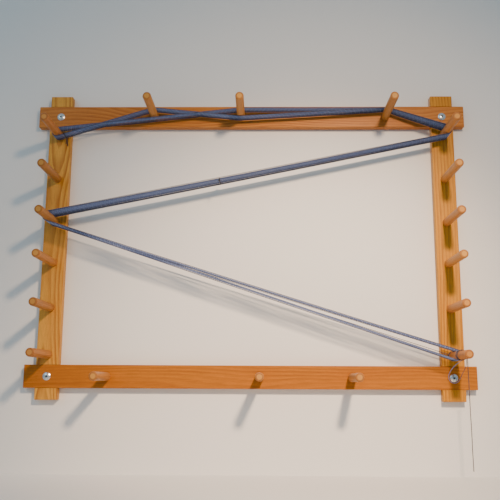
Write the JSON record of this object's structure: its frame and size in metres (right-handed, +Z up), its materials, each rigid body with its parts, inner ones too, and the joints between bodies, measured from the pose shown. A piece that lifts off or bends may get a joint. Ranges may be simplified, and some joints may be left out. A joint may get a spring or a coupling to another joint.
{
  "type": "warping board",
  "caption": "Wall-hung wooden warping board: lapped frame with pull-out pegs along its sides and rails, wound with a blue-grey yarn warp whose tail is tied off at the last peg.",
  "frame": {"origin": "middle of the top rail, on its back face, which is the wall plane", "axes": "+X to the right as seen by the user, +Y into the wall, +Z up; the pegs point along -Y"},
  "size_m": [1.02, 0.149, 0.8595],
  "materials": {
    "board_wood": "clear satin lacquer",
    "peg_wood": "clear satin lacquer",
    "bright_steel": "bright nickel plate",
    "warp_wool": "matt twisted yarn",
    "pale_thread": "matt twisted thread",
    "dark_thread": "matt twisted thread"
  },
  "bodies": {
    "frame": {"top_rail": "board_wood", "bottom_rail": "board_wood", "left_upright": "board_wood", "right_upright": "board_wood", "corner_bolt_top_left": "bright_steel", "corner_bolt_top_right": "bright_steel", "corner_bolt_bottom_left": "bright_steel", "corner_bolt_bottom_right": "bright_steel", "sleeve_nut_top_left": "bright_steel", "sleeve_nut_top_right": "bright_steel", "sleeve_nut_bottom_left": "bright_steel", "sleeve_nut_bottom_right": "bright_steel", "warp_yarn": "warp_wool", "yarn_tail": "warp_wool", "hanging_thread": "pale_thread", "count_tie": "dark_thread", "cross_tie": "dark_thread"},
    "peg_bottom_1_body": {"peg_bottom_1": "peg_wood"},
    "peg_bottom_2_body": {"peg_bottom_2": "peg_wood"},
    "peg_bottom_3_body": {"peg_bottom_3": "peg_wood"},
    "peg_left_1_body": {"peg_left_1": "peg_wood"},
    "peg_left_2_body": {"peg_left_2": "peg_wood"},
    "peg_left_3_body": {"peg_left_3": "peg_wood"},
    "peg_left_4_body": {"peg_left_4": "peg_wood"},
    "peg_left_5_body": {"peg_left_5": "peg_wood"},
    "peg_left_6_body": {"peg_left_6": "peg_wood"},
    "peg_right_1_body": {"peg_right_1": "peg_wood"},
    "peg_right_2_body": {"peg_right_2": "peg_wood"},
    "peg_right_3_body": {"peg_right_3": "peg_wood"},
    "peg_right_4_body": {"peg_right_4": "peg_wood"},
    "peg_right_5_body": {"peg_right_5": "peg_wood"},
    "peg_right_6_body": {"peg_right_6": "peg_wood"},
    "peg_top_1_body": {"peg_top_1": "peg_wood"},
    "peg_top_2_body": {"peg_top_2": "peg_wood"},
    "peg_top_3_body": {"peg_top_3": "peg_wood"}
  },
  "joints": [
    {"name": "pull_peg_bottom_1", "type": "slide", "parent": "frame", "child": "peg_bottom_1_body", "axis": [0, -1, 0], "range_m": [0, 0.018]},
    {"name": "pull_peg_bottom_2", "type": "slide", "parent": "frame", "child": "peg_bottom_2_body", "axis": [0, -1, 0], "range_m": [0, 0.018]},
    {"name": "pull_peg_bottom_3", "type": "slide", "parent": "frame", "child": "peg_bottom_3_body", "axis": [0, -1, 0], "range_m": [0, 0.018]},
    {"name": "pull_peg_left_1", "type": "slide", "parent": "frame", "child": "peg_left_1_body", "axis": [0, -1, 0], "range_m": [0, 0.018]},
    {"name": "pull_peg_left_2", "type": "slide", "parent": "frame", "child": "peg_left_2_body", "axis": [0, -1, 0], "range_m": [0, 0.018]},
    {"name": "pull_peg_left_3", "type": "slide", "parent": "frame", "child": "peg_left_3_body", "axis": [0, -1, 0], "range_m": [0, 0.018]},
    {"name": "pull_peg_left_4", "type": "slide", "parent": "frame", "child": "peg_left_4_body", "axis": [0, -1, 0], "range_m": [0, 0.018]},
    {"name": "pull_peg_left_5", "type": "slide", "parent": "frame", "child": "peg_left_5_body", "axis": [0, -1, 0], "range_m": [0, 0.018]},
    {"name": "pull_peg_left_6", "type": "slide", "parent": "frame", "child": "peg_left_6_body", "axis": [0, -1, 0], "range_m": [0, 0.018]},
    {"name": "pull_peg_right_1", "type": "slide", "parent": "frame", "child": "peg_right_1_body", "axis": [0, -1, 0], "range_m": [0, 0.018]},
    {"name": "pull_peg_right_2", "type": "slide", "parent": "frame", "child": "peg_right_2_body", "axis": [0, -1, 0], "range_m": [0, 0.018]},
    {"name": "pull_peg_right_3", "type": "slide", "parent": "frame", "child": "peg_right_3_body", "axis": [0, -1, 0], "range_m": [0, 0.018]},
    {"name": "pull_peg_right_4", "type": "slide", "parent": "frame", "child": "peg_right_4_body", "axis": [0, -1, 0], "range_m": [0, 0.018]},
    {"name": "pull_peg_right_5", "type": "slide", "parent": "frame", "child": "peg_right_5_body", "axis": [0, -1, 0], "range_m": [0, 0.018]},
    {"name": "pull_peg_right_6", "type": "slide", "parent": "frame", "child": "peg_right_6_body", "axis": [0, -1, 0], "range_m": [0, 0.018]},
    {"name": "pull_peg_top_1", "type": "slide", "parent": "frame", "child": "peg_top_1_body", "axis": [0, -1, 0], "range_m": [0, 0.018]},
    {"name": "pull_peg_top_2", "type": "slide", "parent": "frame", "child": "peg_top_2_body", "axis": [0, -1, 0], "range_m": [0, 0.018]},
    {"name": "pull_peg_top_3", "type": "slide", "parent": "frame", "child": "peg_top_3_body", "axis": [0, -1, 0], "range_m": [0, 0.018]}
  ]
}
